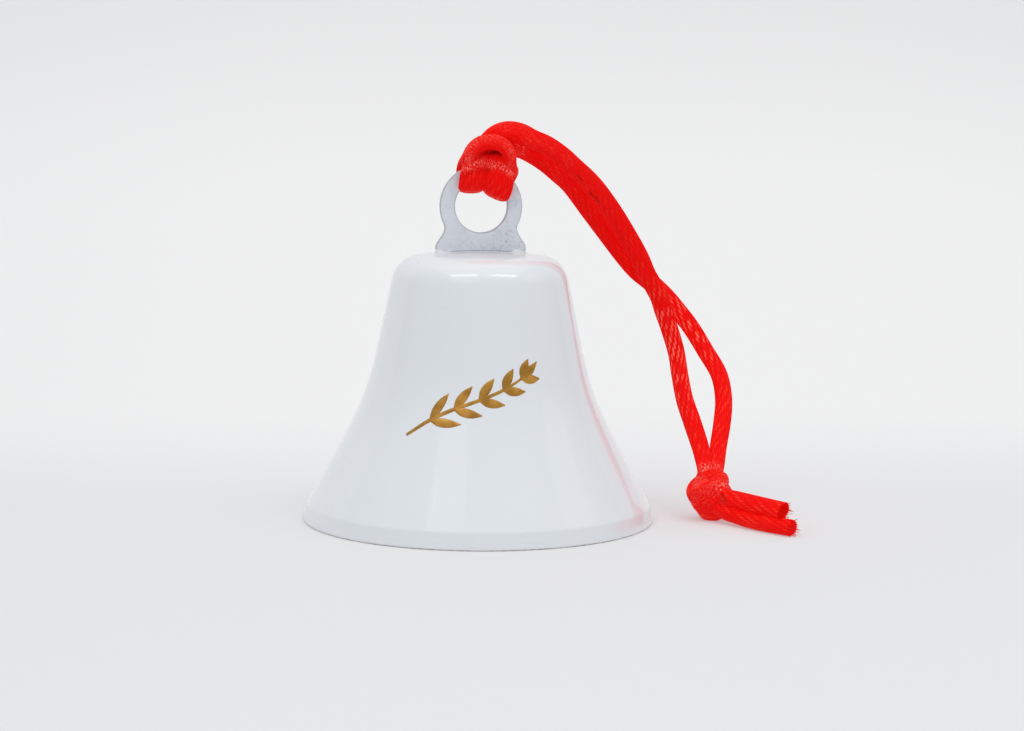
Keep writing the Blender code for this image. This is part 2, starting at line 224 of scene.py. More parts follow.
RIGHT_LEG_POINTS = np.array([
    (6.4, 0.9, 47.0), (8.4, 1.6, 45.8), (10.2, 2.5, 44.4), (12.1, 3.8, 42.8), (14.8, 6.0, 39.6),
    (17.5, 8.1, 36.4), (20.2, 10.0, 33.2), (22.2, 11.0, 31.1), (24.6, 11.3, 29.2), (26.3, 11.3, 27.6),
    (27.7, 11.2, 26.0), (29.6, 10.9, 23.6), (31.5, 9.8, 20.4), (33.0, 8.1, 17.5), (33.2, 5.8, 14.5),
    (32.5, 3.2, 11.7), (31.5, 0.5, 9.0), (30.9, -1.7, 7.2), (30.6, -2.6, 6.4),
]) / 1000
LEFT_KNOT_POINTS = np.array([(29.2, -3.1, 4.8), (30.2, -3.9, 3.9)]) / 1000
RIGHT_KNOT_POINTS = np.array([(30.4, -3.0, 4.4), (30.2, -4.2, 2.4)]) / 1000
UPPER_TAIL_POINTS = np.array([
    (31.5, -5.7, 3.2), (32.6, -6.9, 3.1), (33.9, -8.7, 3.0), (35.3, -10.7, 2.9), (37.0, -13.2, 2.8),
]) / 1000
LOWER_TAIL_POINTS = np.array([
    (31.2, -6.0, 1.6), (32.3, -7.5, 1.3), (33.7, -9.8, 1.1), (35.4, -12.3, 1.05), (37.6, -15.0, 1.05),
]) / 1000

# The two halves of the cord meet here, behind the ring
SEAM_PLACE = np.array((-0.0026, 0.0017, 0.0448))

# Gold paint on the shell: how far its middle stands off, its depth, and a degree's run at its height
PAINT_LIFT = 0.00001
PAINT_DEPTH = 0.00008
SPRIG_DEGREE = 0.000252
# A stroke's route is worked out with angle, height and width on like scales
STROKE_TURN = 60
STROKE_RISE = 20
STROKE_STEP = 0.02
# Stem of the sprig, as angle in degrees and height, with the width of the stroke at each point
STEM = [(-129, 0.0128), (-119, 0.0147), (-108, 0.0161), (-96, 0.0172), (-84, 0.0184), (-74, 0.0197)]
STEM_WIDTHS = [0.0004, 0.0005, 0.0005, 0.00045, 0.0004, 0.0003]
STEM_AHEAD = (-64, 0.0212)
TIP_LEAF = [(-74, 0.0197), (-71, 0.0202), (-67.5, 0.0209), (-64, 0.0217)]
TIP_WIDTHS = [0.0002, 0.0010, 0.0009, 0.0001]
LEAF_WIDTHS = [0.0002, 0.0011, 0.0010, 0.0001]
LEAF_LENGTH = 0.0040
LEAF_SHORTER = 0.0003

# Paper sweep: half width, front end, start and radius of the curve, and its top
PAPER_REACH = 1.0
PAPER_FRONT = -1.2
PAPER_CURVE = 0.10
PAPER_RADIUS = 0.30
PAPER_TOP = 1.4

# Camera
CAMERA_PLACE = Vector((-0.03136, -0.29836, 0.0550))
CAMERA_HEADING = radians(6.796)
CAMERA_PITCH = radians(6.68)
CAMERA_ROLL = radians(0.56)
CAMERA_LENS = 82.76

# Lamps round the crown, at one distance: azimuth, elevation, size, power and roll
LAMP_DISTANCE = 0.8
LAMPS = {
    "left_pane": (-37, 57, (0.40, 0.10), 0.6, 24),
    "right_pane": (39, 54.5, (0.40, 0.10), 0.6, -24),
    "left_glow": (-33, 40, (0.30, 0.30), 0.20, 0),
    "right_glow": (75, 32, (0.30, 0.30), 0.14, 0),
}


class Value:
    """What a node gives out. Sums with it add Math nodes."""

    def __init__(self, nodes, socket):
        self.nodes = nodes
        self.socket = socket

    def beside(self, output):
        """Another output of the same node."""
        return Value(self.nodes, self.socket.node.outputs[output])

    def sum(self, operation, first, second=0.0):
        return self.nodes.add("ShaderNodeMath", {"operation": operation}, {0: first, 1: second})

    def __add__(self, other):
        return self.sum("ADD", self, other)

    __radd__ = __add__

    def __sub__(self, other):
        return self.sum("SUBTRACT", self, other)

    def __rsub__(self, other):
        return self.sum("SUBTRACT", other, self)

    def __mul__(self, other):
        return self.sum("MULTIPLY", self, other)

    __rmul__ = __mul__

    def __truediv__(self, other):
        return self.sum("DIVIDE", self, other)

    def __pow__(self, other):
        return self.sum("POWER", self, other)

    def __abs__(self):
        return self.sum("ABSOLUTE", self)

    def part(self):
        """What is left above the whole number below."""
        return self.sum("FRACT", self)

    def wave(self):
        return self.sum("SINE", self)

    def step(self, low, high):
        """0 below low, 1 above high and smooth between them."""
        return self.nodes.add(
            "ShaderNodeMapRange", {"interpolation_type": "SMOOTHSTEP"},
            {"Value": self, "From Min": low, "From Max": high},
        )


class Nodes:
    """A tree of nodes. Settings and sockets of a new node are given by name or number."""

    def __init__(self, tree):
        self.tree = tree

    def add(self, kind, settings=None, sockets=None, output=0):
        node = self.tree.nodes.new(kind)
        for name, value in (settings or {}).items():
            setattr(node, name, value)
        for name, value in (sockets or {}).items():
            self.feed(node.inputs[name], value)
        return Value(self, node.outputs[output])

    def feed(self, socket, value):
        if isinstance(value, Value):
            self.tree.links.new(value.socket, socket)
        else:
            socket.default_value = value


class Finish(Nodes):
    """A material and the nodes that vary it. The constant values are set on the shader's own sockets."""

    def __init__(self, name, **constants):
        self.material = bpy.data.materials.new(name)
        self.material.use_nodes = True
        super().__init__(self.material.node_tree)
        self.shader = self.tree.nodes["Principled BSDF"]
        for socket, value in constants.items():
            self.set(socket.replace("_", " "), value)

    def set(self, socket, value):
        self.feed(self.shader.inputs[socket], value)

    def place(self):
        return self.add("ShaderNodeTexCoord", output="Object")

    def attribute(self, name):
        return self.add("ShaderNodeAttribute", {"attribute_name": name}, output="Fac")

    def split(self, vector):
        first = self.add("ShaderNodeSeparateXYZ", None, {0: vector})
        return first, first.beside(1), first.beside(2)

    def noise(self, vector, scale, detail=2.0, roughness=0.5):
        sockets = {"Vector": vector, "Scale": scale, "Detail": detail, "Roughness": roughness}
        return self.add("ShaderNodeTexNoise", None, sockets)

    def mix(self, factor, first, second):
        settings = {"data_type": "RGBA"}
        return self.add("ShaderNodeMix", settings, {"Factor": factor, 6: first, 7: second}, 2)

    def bump(self, height, distance, strength=1.0):
        sockets = {"Height": height, "Distance": distance, "Strength": strength}
        self.set("Normal", self.add("ShaderNodeBump", None, sockets))


def colour(red, green, blue):
    return (red, green, blue, 1.0)


def enamel_finish():
    finish = Finish("white_enamel", Specular_IOR_Level=0.12, Coat_Roughness=0.035, Coat_IOR=1.43)
    place = finish.place()
    height = finish.split(place)[2]
    cloud = finish.noise(place, 140.0, 3.0)
    # A ragged band along the rim's bottom edge is brownish, rougher and without coat
    rim_band_and_painted_light = (finish.noise(place, 1500.0, 3.0) * 0.00022 - height + 0.00004).step(0.0, 0.00012)
    white = finish.mix(cloud, colour(0.765, 0.795, 0.825), colour(0.785, 0.812, 0.84))
    finish.set("Base Color", finish.mix(rim_band_and_painted_light, white, colour(0.30, 0.25, 0.21)))
    finish.set("Roughness", 0.26 + rim_band_and_painted_light * 0.3 + cloud * 0.04)
    finish.set("Coat Weight", 1 - rim_band_and_painted_light)
    return finish.material


def plate_finish():
    finish = Finish("grey_plate", Specular_IOR_Level=0.3)
    place = finish.place()
    speckle = finish.noise(place, 2600.0, 4.0, 0.7)
    blotch = finish.noise(place, 500.0, 2.0)
    edge = finish.attribute("edge")
    grey = finish.mix(speckle.step(0.30, 0.56), colour(0.55, 0.605, 0.67), colour(0.67, 0.72, 0.775))
    grey = finish.mix(blotch.step(0.40, 0.70) * 0.5, grey, colour(0.70, 0.735, 0.78))
    across, _, height = finish.split(place)
    rise = height - SHELL_HEIGHT + across * across / (2 * CROWN_DOME_RADIUS)
    # Painted shade in the seam where the foot meets the crown
    seam = (0.00020 - rise).step(0.0, 0.00008)
    # Painted light: the left part of the plate is lighter, where light falls on it
    rim_band_and_painted_light = 1 - across.step(-0.0050, -0.0020)
    grey = finish.mix(rim_band_and_painted_light * 0.35, grey, colour(0.76, 0.79, 0.83))
    pit = finish.noise(place, 2400.0, 2.0).step(0.50, 0.70) * across.step(-0.0005, 0.0030)
    grey = finish.mix(pit * (1 - rise.step(0.0020, 0.0060)) * 0.5, grey, colour(0.36, 0.38, 0.43))
    grey = finish.mix(edge * 0.55, grey, colour(0.27, 0.29, 0.33))
    # Near-white patches low at both ends of the foot
    foot_end_white = blotch.step(0.38, 0.50) * abs(across).step(0.0034, 0.0044) * (1 - rise.step(0.00035, 0.00055))
    grey = finish.mix(seam * 0.75, grey, colour(0.16, 0.17, 0.20))
    finish.set("Base Color", finish.mix(foot_end_white * 0.9, grey, colour(0.90, 0.91, 0.92)))
    finish.set("Roughness", 0.34 + speckle * 0.2)
    finish.bump(speckle, 0.00003, 0.4)
    return finish.material


def steel_finish(name, tint, roughness):
    finish = Finish(name, Metallic=1.0)
    place = finish.place()
    drawn = finish.add("ShaderNodeMapping", None, {"Vector": place, "Scale": (1.0, 1.0, 0.06)})
    grain = finish.noise(drawn, 4200.0, 3.0, 0.6)
    stain = finish.noise(place, 260.0, 3.0)
    dull = tuple(0.62 * part for part in tint)
    finish.set("Base Color", finish.mix(stain.step(0.45, 0.8), colour(*tint), colour(*dull)))
    finish.set("Roughness", roughness + grain * 0.07 + stain * 0.05)
    finish.bump(grain, 0.000004, 0.3)
    return finish.material


def satin_finish():
    """Satin cord: knitted columns run along it, each of slanted stitches, with painted shade, painted glints
    and a faint red glow.
    """
    # Painted light: the cord glows faintly red in its own colour
    finish = Finish("red_satin", Specular_IOR_Level=0.04, Emission_Strength=0.16)
    uv = finish.add("ShaderNodeUVMap", {"uv_map": "UVMap"})
    across, along, _ = finish.split(uv)
    patch = finish.noise(uv, 9.0, 2.0)
    column = (across * CORD_RIBS).part()
    lean = abs(column - 0.5)
    stitch = ((along + lean * 0.05 + patch * 0.04) * (2 * pi / 0.055)).wave() * 0.5 + 0.5
    thread = 1 - (lean * 2) ** 2.0
    relief = thread * 0.6 + stitch * thread * 0.4
    grain = finish.add("ShaderNodeMapping", None, {"Vector": uv, "Scale": (CORD_RIBS * 2.2, 36.0, 1.0)})
    fleck = finish.noise(grain, 1.0, 2.0, 0.6)
    spread = finish.noise(uv, 5.0, 1.0)
    bend = finish.attribute("bend")
    fibre = finish.add("ShaderNodeMapping", None, {"Vector": uv, "Scale": (CORD_RIBS * 6.0, 5.0, 1.0)})
    streak = finish.noise(fibre, 1.0, 2.0, 0.6)
    # Painted shade: the grooves between threads and stitches are darker red than their tops
    red = finish.mix(relief.step(0.0, 0.7), colour(0.67, 0.003, 0.003), colour(0.83, 0.004, 0.003))
    red = finish.mix(streak.step(0.45, 0.72) * 0.3, red, colour(0.60, 0.003, 0.003))
    # Painted highlights: short bright dashes along the stitches, fewer high up on the hitch
    strip = across * DASH_STRIPS
    side = abs(strip.part() - 0.5)
    beat = (along + patch * 0.10) / DASH_LENGTH + strip.part() * 0.25 + (strip - strip.part()) * 0.38
    glint_dash = (beat * (2 * pi)).wave().step(-0.4, 0.7) * (1 - side * 2).step(0.1, 0.7)
    wide, _, height = finish.split(finish.place())
    glint_dash = glint_dash * (1 - 0.6 * height.step(0.028, 0.034))
    red = finish.mix(glint_dash * (0.06 + 0.28 * spread.step(0.42, 0.64)), red, colour(1.0, 0.12, 0.055))
    # Painted highlight dashes are strongest low on the legs, except at the foot of the right one
    bright = height.step(0.012, 0.017) * (1 - height.step(0.025, 0.030)) * spread.step(0.38, 0.56)
    bright = bright * (1 - wide.step(0.0295, 0.0305) * (1 - height.step(0.0185, 0.0215)))
    red = finish.mix(glint_dash * bright * 0.5, red, colour(1.0, 0.28, 0.19))
    # Painted glints, in patches, where the bend attribute is high
    shine = fleck.step(0.49, 0.62) * bend * (0.5 + 0.5 * spread.step(0.40, 0.60))
    # Painted shade in folds, creases and the open end, where the glow is also taken out
    painted_shade = finish.attribute("painted_shade")
    red = finish.mix(painted_shade * 0.95, red, colour(0.03, 0.0, 0.0))
    finish.set("Base Color", finish.mix(shine * 0.9, red, colour(1.0, 0.52, 0.42)))
    finish.set("Emission Color", finish.mix(painted_shade, colour(1.0, 0.002, 0.001), colour(0.0, 0.0, 0.0)))
    finish.set("Roughness", 0.55 - shine * 0.2)
    finish.bump(relief + streak * 0.6, 0.00004, 0.7)
    return finish.material


def gold_finish():
    finish = Finish("gold_paint", Metallic=0.35, Roughness=0.38)
    place = finish.place()
    streak = finish.noise(place, 700.0, 3.0)
    gold = finish.mix(streak.step(0.35, 0.68), colour(0.40, 0.185, 0.018), colour(0.60, 0.30, 0.045))
    finish.set("Base Color", gold)
    finish.bump(streak, 0.00003, 0.4)
    return finish.material


def linked(name, data):
    """A new object in the scene."""
    thing = bpy.data.objects.new(name, data)
    bpy.context.scene.collection.objects.link(thing)
    return thing


def add_piece(name, mesh, material, body, slot, *nodes):
    piece = linked(name, mesh)
    mesh.materials.clear()
    mesh.materials.append(material)
    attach(piece, body)
    if nodes:
        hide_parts(*nodes)
    return piece


def mesh_of(name, places, faces, uvs=None):
    """A smooth mesh. uvs has one pair for each corner of each face, in order."""
    mesh = bpy.data.meshes.new(name)
    mesh.from_pydata([tuple(place) for place in places], [], faces)
    if uvs is not None:
        layer = mesh.uv_layers.new(name="UVMap")
        layer.data.foreach_set("uv", np.array(uvs, np.float32).ravel())
    mesh.shade_smooth()
    mesh.validate()
    return mesh


def mesh_from(name, shape):
    """The mesh of a bmesh, which is then freed."""
    mesh = bpy.data.meshes.new(name)
    shape.to_mesh(mesh)
    shape.free()
    return mesh


def joined_mesh(name, parts):
    """One mesh made of several, which are then removed."""
    shape = bmesh.new()
    for part in parts:
        shape.from_mesh(part)
        bpy.data.meshes.remove(part)
    return mesh_from(name, shape)


def set_values(mesh, name, values):
    """Keeps one number for each vertex, which the piece's finish reads."""
    layer = mesh.attributes.get(name) or mesh.attributes.new(name, "FLOAT", "POINT")
    layer.data.foreach_set("value", np.asarray(values, np.float32).ravel())


def values_of(mesh, name):
    values = np.zeros(len(mesh.vertices), np.float32)
    mesh.attributes[name].data.foreach_get("value", values)
    return values


def places_of(mesh):
    """The three coordinates of all vertices, in millimetres."""
    places = np.zeros(3 * len(mesh.vertices), np.float32)
    mesh.vertices.foreach_get("co", places)
    return 1000 * places.reshape(-1, 3).T


def peak(values, middle, spread):
    """1 at the middle, falling off smoothly on both sides."""
    return np.exp(-(((values - middle) / spread) ** 2))


def evaluated_mesh(name, mesh, build):
    """The mesh after the modifiers that build adds to a passing object."""
    passing = linked(name, mesh)
    helpers = build(passing) or []
    graph = bpy.context.evaluated_depsgraph_get()
    result = bpy.data.meshes.new_from_object(passing.evaluated_get(graph))
    for thing in [passing, *helpers]:
        bpy.data.objects.remove(thing, do_unlink=True)
    result.name = name
    return result


def turned_mesh(name, profile, segments, closed=False):
    """Turns (radius, height) points round +Z. A point on the axis becomes a single pole."""
    places = []
    rings = []
    for radius, height in profile:
        start = len(places)
        if radius < 1e-9:
            places.append((0.0, 0.0, height))
            rings.append([start] * segments)
        else:
            for i in range(segments):
                angle = 2 * pi * i / segments
                places.append((radius * cos(angle), radius * sin(angle), height))
            rings.append(list(range(start, start + segments)))
    pairs = list(zip(rings, rings[1:]))
    if closed:
        pairs.append((rings[-1], rings[0]))
    faces = []
    for upper, lower in pairs:
        for i in range(segments):
            j = (i + 1) % segments
            corners = [upper[i], lower[i], lower[j], upper[j]]
            faces.append(list(dict.fromkeys(corners)))
    return mesh_of(name, places, faces)


def dome_height(radius, depth=0.0):
    dome = CROWN_DOME_RADIUS - depth
    return SHELL_HEIGHT - CROWN_DOME_RADIUS + sqrt(dome**2 - radius**2)


def shell_outside(crown_steps, shoulder_steps, flare_steps):
    """(point, outward normal) pairs from the crown's middle down to the lip."""
    radius = SHOULDER_REACH - SHOULDER_RADIUS * cos(SHOULDER_DRAFT)
    span = CROWN_DOME_RADIUS - SHOULDER_RADIUS
    centre = Vector((radius, SHELL_HEIGHT - CROWN_DOME_RADIUS + sqrt(span**2 - radius**2)))
    meet = asin(radius / span)
    pairs = []
    for i in range(crown_steps):
        normal = Vector((sin(meet * i / crown_steps), cos(meet * i / crown_steps)))
        pairs.append((Vector((0, SHELL_HEIGHT - CROWN_DOME_RADIUS)) + CROWN_DOME_RADIUS * normal, normal))
    for i in range(shoulder_steps + 1):
        angle = meet + (pi / 2 - SHOULDER_DRAFT - meet) * i / shoulder_steps
        normal = Vector((sin(angle), cos(angle)))
        pairs.append((centre + SHOULDER_RADIUS * normal, normal))
    top = pairs[-1][0]
    lip = Vector((RIM_RADIUS - LIP_STEP, LIP_HEIGHT))
    handles = (
        top,
        top + UPPER_PULL * Vector((sin(SHOULDER_DRAFT), -cos(SHOULDER_DRAFT))),
        lip - LOWER_PULL * Vector((sin(FLARE_ANGLE), -cos(FLARE_ANGLE))),
        lip,
    )
    for i in range(1, flare_steps + 1):
        t = i / flare_steps
        weights = ((1 - t) ** 3, 3 * t * (1 - t) ** 2, 3 * t * t * (1 - t), t**3)
        slopes = (-((1 - t) ** 2), (1 - t) * (1 - 3 * t), t * (2 - 3 * t), t * t)
        point = sum((w * h for w, h in zip(weights, handles)), Vector((0, 0)))
        run = sum((w * h for w, h in zip(slopes, handles)), Vector((0, 0))).normalized()
        pairs.append((point, Vector((-run.y, run.x))))
    return pairs


def shell_profile():
    outside = shell_outside(*SHELL_STEPS)
    profile = [tuple(point) for point, _ in outside]
    crease = Vector(profile.pop())
    foot = Vector((RIM_RADIUS, 0.0))
    before = (Vector(profile[-1]) - crease).normalized()
    after = (foot - crease).normalized()
    profile += [tuple(crease + CREASE_FAR * before), tuple(crease + CREASE_NEAR * before)]
    profile += [tuple(crease + CREASE_NEAR * after), tuple(crease + CREASE_FAR * after)]
    profile.append(tuple(crease.lerp(foot, 0.5)))
    for centre, start in ((RIM_RADIUS - RIM_ROUND, 0.0), (RIM_RADIUS - WALL + RIM_ROUND, -pi / 2)):
        profile += arc((centre, RIM_ROUND), RIM_ROUND, start, start - pi / 2, 6)
    inside = [tuple(point - WALL * normal) for point, normal in reversed(outside)]
    inside[-1] = (0.0, SHELL_HEIGHT - WALL)
    profile[0] = (0.0, SHELL_HEIGHT)
    return profile + inside


def arc(centre, radius, start, end, steps):
    angles = [start + (end - start) * i / steps for i in range(steps + 1)]
    return [(centre[0] + radius * cos(a), centre[1] + radius * sin(a)) for a in angles]


def bend_through(start, control, end, steps):
    """A soft corner: a quadratic curve from start to end, drawn towards control."""
    found = []
    for i in range(steps + 1):
        t = i / steps
        found.append(tuple(
            (1 - t) ** 2 * a + 2 * t * (1 - t) * b + t * t * c for a, b, c in zip(start, control, end)
        ))
    return found


def pivot_height():
    return SHELL_HEIGHT - WALL - PIVOT_DROP


def hanger_half():
    """The right half of the plate's outline, from the ear's bottom up to the top of the ring."""
    seat = SHELL_HEIGHT + FIT_GAP
    eye = seat + EYE_RISE
    ring = EYE_RADIUS + RING_WIDTH
    neck_turn = -asin(NECK_DROP / ring)
    leave = neck_turn + NECK_LEAVES
    neck = (ring * cos(neck_turn), eye + ring * sin(neck_turn))
    corner = (FOOT_WIDTH / 2 + FOOT_BULGE, seat + FOOT_CORNER)
    sunk = dome_height(FOOT_WIDTH / 2) - FOOT_SUNK
    flank = tuple(a + (b - a) * NECK_SHARE for a, b in zip(neck, corner))
    outline = [(TANG_WIDTH / 2, sunk - WALL), (TANG_WIDTH / 2, sunk), (FOOT_WIDTH / 2, sunk)]
    foot_end = tuple(a + (b - a) * FOOT_SHARE for a, b in zip(corner, neck))
    outline += bend_through((FOOT_WIDTH / 2 + FOOT_BULGE / 2, seat), corner, foot_end, 6)
    ring_start = (ring * cos(leave), eye + ring * sin(leave))
    outline += bend_through(flank, neck, ring_start, 8)
    outline += arc((0, eye), ring, leave, pi / 2, 44)[1:]
    return outline


def hanger_mesh():
    seat = SHELL_HEIGHT + FIT_GAP
    eye_radius = WIRE_RADIUS + EYE_PLAY
    finger = eye_radius + EYE_EDGE
    ear_top = dome_height(hypot(TANG_WIDTH / 2, EAR_REACH), WALL) - FIT_GAP
    ear_bottom = ear_top - PLATE_THICKNESS
    right = [(finger, ear_bottom), (TANG_WIDTH / 2, ear_bottom), *hanger_half()]
    left = [(-x, z) for x, z in reversed(right[:-1])]
    outline = right + left + arc((0, pivot_height()), finger, pi, 2 * pi, 24)[1:-1]
    loops = [
        outline,
        arc((0, seat + EYE_RISE), EYE_RADIUS, 0, 2 * pi, 72)[:-1],
        arc((0, pivot_height()), eye_radius, 0, 2 * pi, 32)[:-1],
    ]
    shape = bmesh.new()
    for loop in loops:
        corners = [shape.verts.new((x, -PLATE_THICKNESS / 2, z)) for x, z in loop]
        for i, corner in enumerate(corners):
            shape.edges.new((corner, corners[(i + 1) % len(corners)]))
    filled = bmesh.ops.triangle_fill(shape, edges=shape.edges[:], use_beauty=True, normal=(0, -1, 0))
    faces = [thing for thing in filled["geom"] if isinstance(thing, bmesh.types.BMFace)]
    pushed = bmesh.ops.extrude_face_region(shape, geom=faces)["geom"]
    moved = [thing for thing in pushed if isinstance(thing, bmesh.types.BMVert)]
    bmesh.ops.translate(shape, verts=moved, vec=(0, PLATE_THICKNESS, 0))
    bmesh.ops.recalc_face_normals(shape, faces=shape.faces[:])
    bmesh.ops.dissolve_limit(shape, angle_limit=0.001, verts=shape.verts[:], edges=shape.edges[:])
    mesh = mesh_from("hanger_plate_form", shape)

    def ears_and_edges(passing):
        helpers = []
        for side in (-1, 1):
            across = sorted((side * TANG_WIDTH / 2, side * (TANG_WIDTH / 2 - EAR_WIDTH)))
            reach = sorted((0.0, side * EAR_REACH))
            block = bmesh.new()
            bmesh.ops.create_cube(block, size=1.0)
            low = (across[0], reach[0], ear_bottom)
            high = (across[1], reach[1], ear_top)
            for vertex in block.verts:
                vertex.co = [a + (b - a) * (c + 0.5) for a, b, c in zip(low, high, vertex.co)]
            helper = linked("ear", mesh_from("ear", block))
            union = passing.modifiers.new("ear", "BOOLEAN")
            union.operation = "UNION"
            union.object = helper
            helpers.append(helper)
        soften = passing.modifiers.new("edges", "BEVEL")
        soften.width = PLATE_ROUND
        soften.segments = 3
        soften.limit_method = "ANGLE"
        soften.angle_limit = radians(50)
        return helpers

    made = evaluated_mesh("hanger_plate_dressed", mesh, ears_and_edges)
    places = np.array([vertex.co for vertex in made.vertices])
    depth = PLATE_THICKNESS / 2 - np.abs(places[:, 1])
    set_values(made, "edge", (depth > EDGE_DEPTH) & (places[:, 2] > seat - WALL))
    made.shade_smooth()
    made.set_sharp_from_angle(angle=radians(35))
    return made


def distances(places):
    """How far along a route each of its places lies."""
    steps = np.linalg.norm(np.diff(places, axis=0), axis=1)
    return np.concatenate([[0.0], np.cumsum(steps)])


def smooth_route(points, step):
    """Points about a step apart along a Catmull-Rom curve through the given ones, of any size."""
    points = np.array(points, float)
    knots = np.array([2 * points[0] - points[1], *points, 2 * points[-1] - points[-2]])
    fine = []
    for a, b, c, d in zip(knots, knots[1:], knots[2:], knots[3:]):
        for t in np.linspace(0, 1, 24, endpoint=False):
            fine.append(0.5 * (2 * b + (c - a) * t + (2 * a - 5 * b + 4 * c - d) * t**2
                               + (3 * b - a - 3 * c + d) * t**3))
    fine = np.array([*fine, knots[-2]])
    along = distances(fine[:, :3])
    stops = np.linspace(0, along[-1], max(2, round(along[-1] / step)) + 1)
    return np.stack([np.interp(stops, along, fine[:, axis]) for axis in range(fine.shape[1])], axis=1)


def unit(vectors):
    return vectors / np.linalg.norm(vectors, axis=-1, keepdims=True)


def tube_mesh(name, places, sides, uv, end_uvs=None):
    """Rings of places joined to a tube, where uv(ring, side) gives the UV of a place.

    end_uvs has the UVs of two end faces. Without them the tube closes on itself.
    """
    count = len(places) // sides
    faces = []
    uvs = []
    for i in range(count - 1 if end_uvs else count):
        k = (i + 1) % count
        for j in range(sides):
            m = (j + 1) % sides
            faces.append((i * sides + j, i * sides + m, k * sides + m, k * sides + j))
            uvs += [uv(i, j), uv(i, j + 1), uv(i + 1, j + 1), uv(i + 1, j)]
    if end_uvs:
        faces += [list(range(sides))[::-1], list(range((count - 1) * sides, count * sides))]
        uvs += [end_uvs[0]] * sides + [end_uvs[1]] * sides
    return mesh_of(name, places, faces, uvs)


def strap_mesh(name, line, sides, closed=False, rise=0.0, tip=()):
    """A flat cord swept along line, whose rows hold a place, the way its flat side faces, width and depth.

    tip adds (shift, scale) rings past the far end. Attribute bend is high where the cord bulges out; painted
    glints go there.
    """
    places = line[:, :3]
    ahead = np.gradient(places, axis=0)
    if closed:
        ahead = np.roll(places, -1, axis=0) - np.roll(places, 1, axis=0)
    ahead = unit(ahead)
    facing = line[:, 3:6] - (line[:, 3:6] * ahead).sum(1, keepdims=True) * ahead
    facing = unit(facing)
    wide = np.cross(ahead, facing)
    turn = 2 * pi * np.arange(sides) / sides
    flat = np.sign(np.cos(turn)) * np.abs(np.cos(turn)) ** SECTION_POWER
    rib = 1 + rise * np.cos(CORD_RIBS * turn)
    rings = (
        places[:, None]
        + wide[:, None] * (line[:, 6, None] / 2 * flat * rib)[..., None]
        + facing[:, None] * (line[:, 7, None] / 2 * np.sin(turn) * rib)[..., None]
    )
    curl = np.gradient(ahead, axis=0) / (np.linalg.norm(np.gradient(places, axis=0), axis=1)[:, None] + 1e-9)
    out = wide[:, None] * np.cos(turn)[:, None] + facing[:, None] * np.sin(turn)[:, None]
    bend = np.clip(-(curl[:, None] * out).sum(2) * BEND_SCALE, 0, 1)
    for shift, scale in tip:
        middle = places[len(line) - 1]
        ring = middle + (rings[len(line) - 1] - middle) * scale + ahead[-1] * shift
        rings = np.concatenate([rings, ring[None]])
        bend = np.concatenate([bend, bend[-1:]])
        places = np.concatenate([places, places[-1:] + ahead[-1] * max(shift, 1e-5)])
    along = distances(places) * UV_LENGTH
    end_uvs = None if closed else ((0.5, along[0]), (0.5, along[-1]))
    along = [*along, along[-1] + along[1]]
    mesh = tube_mesh(name, rings.reshape(-1, 3), sides, lambda i, j: (j / sides, along[i]), end_uvs)
    set_values(mesh, "bend", bend)
    return mesh


def front_facing(tilt):
    """Towards the front and a little up and left, turned by tilt degrees."""
    return (-0.1 + sin(radians(tilt)), -cos(radians(tilt)), 0.1)


def leg_width(place):
    """The legs narrow where the knot grips them."""
    return CORD_WIDTH - LEG_SLACK - GRIP_PINCH * peak(place[2], GRIP_HEIGHT, GRIP_SPREAD)


def cord_rows():
    """One row for each chosen point of the whole cord, from the upper tail's end to the lower tail's end."""
    rows = []

    def add(points, facing, width, depth):
        for place in points:
            rows.append((*place, *facing, width, depth))

    add(UPPER_TAIL_POINTS[::-1], *UPPER_TAIL_LIE)
    add(LEFT_KNOT_POINTS[::-1], *KNOT_LIE)
    for place in LEFT_LEG_POINTS[::-1]:
        turn = peak(place[2], TURN_HEIGHT, TURN_SPREAD)
        add([place], front_facing(-LEFT_TURN * turn), leg_width(place), CORD_DEPTH)
    for place, (*facing, width) in zip(HITCH_POINTS, HITCH_LIE):
        depth = CORD_SECTION / (width / 1000)
        add([place], facing, width / 1000, min(max(depth, HITCH_THINNEST), HITCH_THICKEST))
    for place in RIGHT_LEG_POINTS:
        turn = peak(place[2], TURN_HEIGHT, TURN_SPREAD)
        add([place], front_facing(RIGHT_TURN * turn), leg_width(place) - RIGHT_PINCH * turn, CORD_DEPTH)
    add(RIGHT_KNOT_POINTS, *KNOT_LIE)
    add(LOWER_TAIL_POINTS, *LOWER_TAIL_LIE)
    return rows


def rest_on_floor(mesh):
    """Flattens what would sink into the floor."""
    for vertex in mesh.vertices:
        vertex.co.z = max(vertex.co.z, FLOOR_GAP)
    return mesh


def fold_line(across, height, start, end, width):
    """How near each place lies to a short straight fold, seen from the front, from 0 to 1."""
    run = np.subtract(end, start)
    share = ((across - start[0]) * run[0] + (height - start[1]) * run[1]) / run.dot(run)
    share = np.clip(share, 0, 1)
    gap = np.hypot(across - start[0] - share * run[0], height - start[1] - share * run[1])
    return peak(gap, 0, width)


def knot_tuck(x, y, z):
    """Painted shade in the fold where the tails leave the knot."""
    return TUCK_SHADE * fold_line(x, z, *KNOT_TUCK) * (y < TUCK_FRONT)


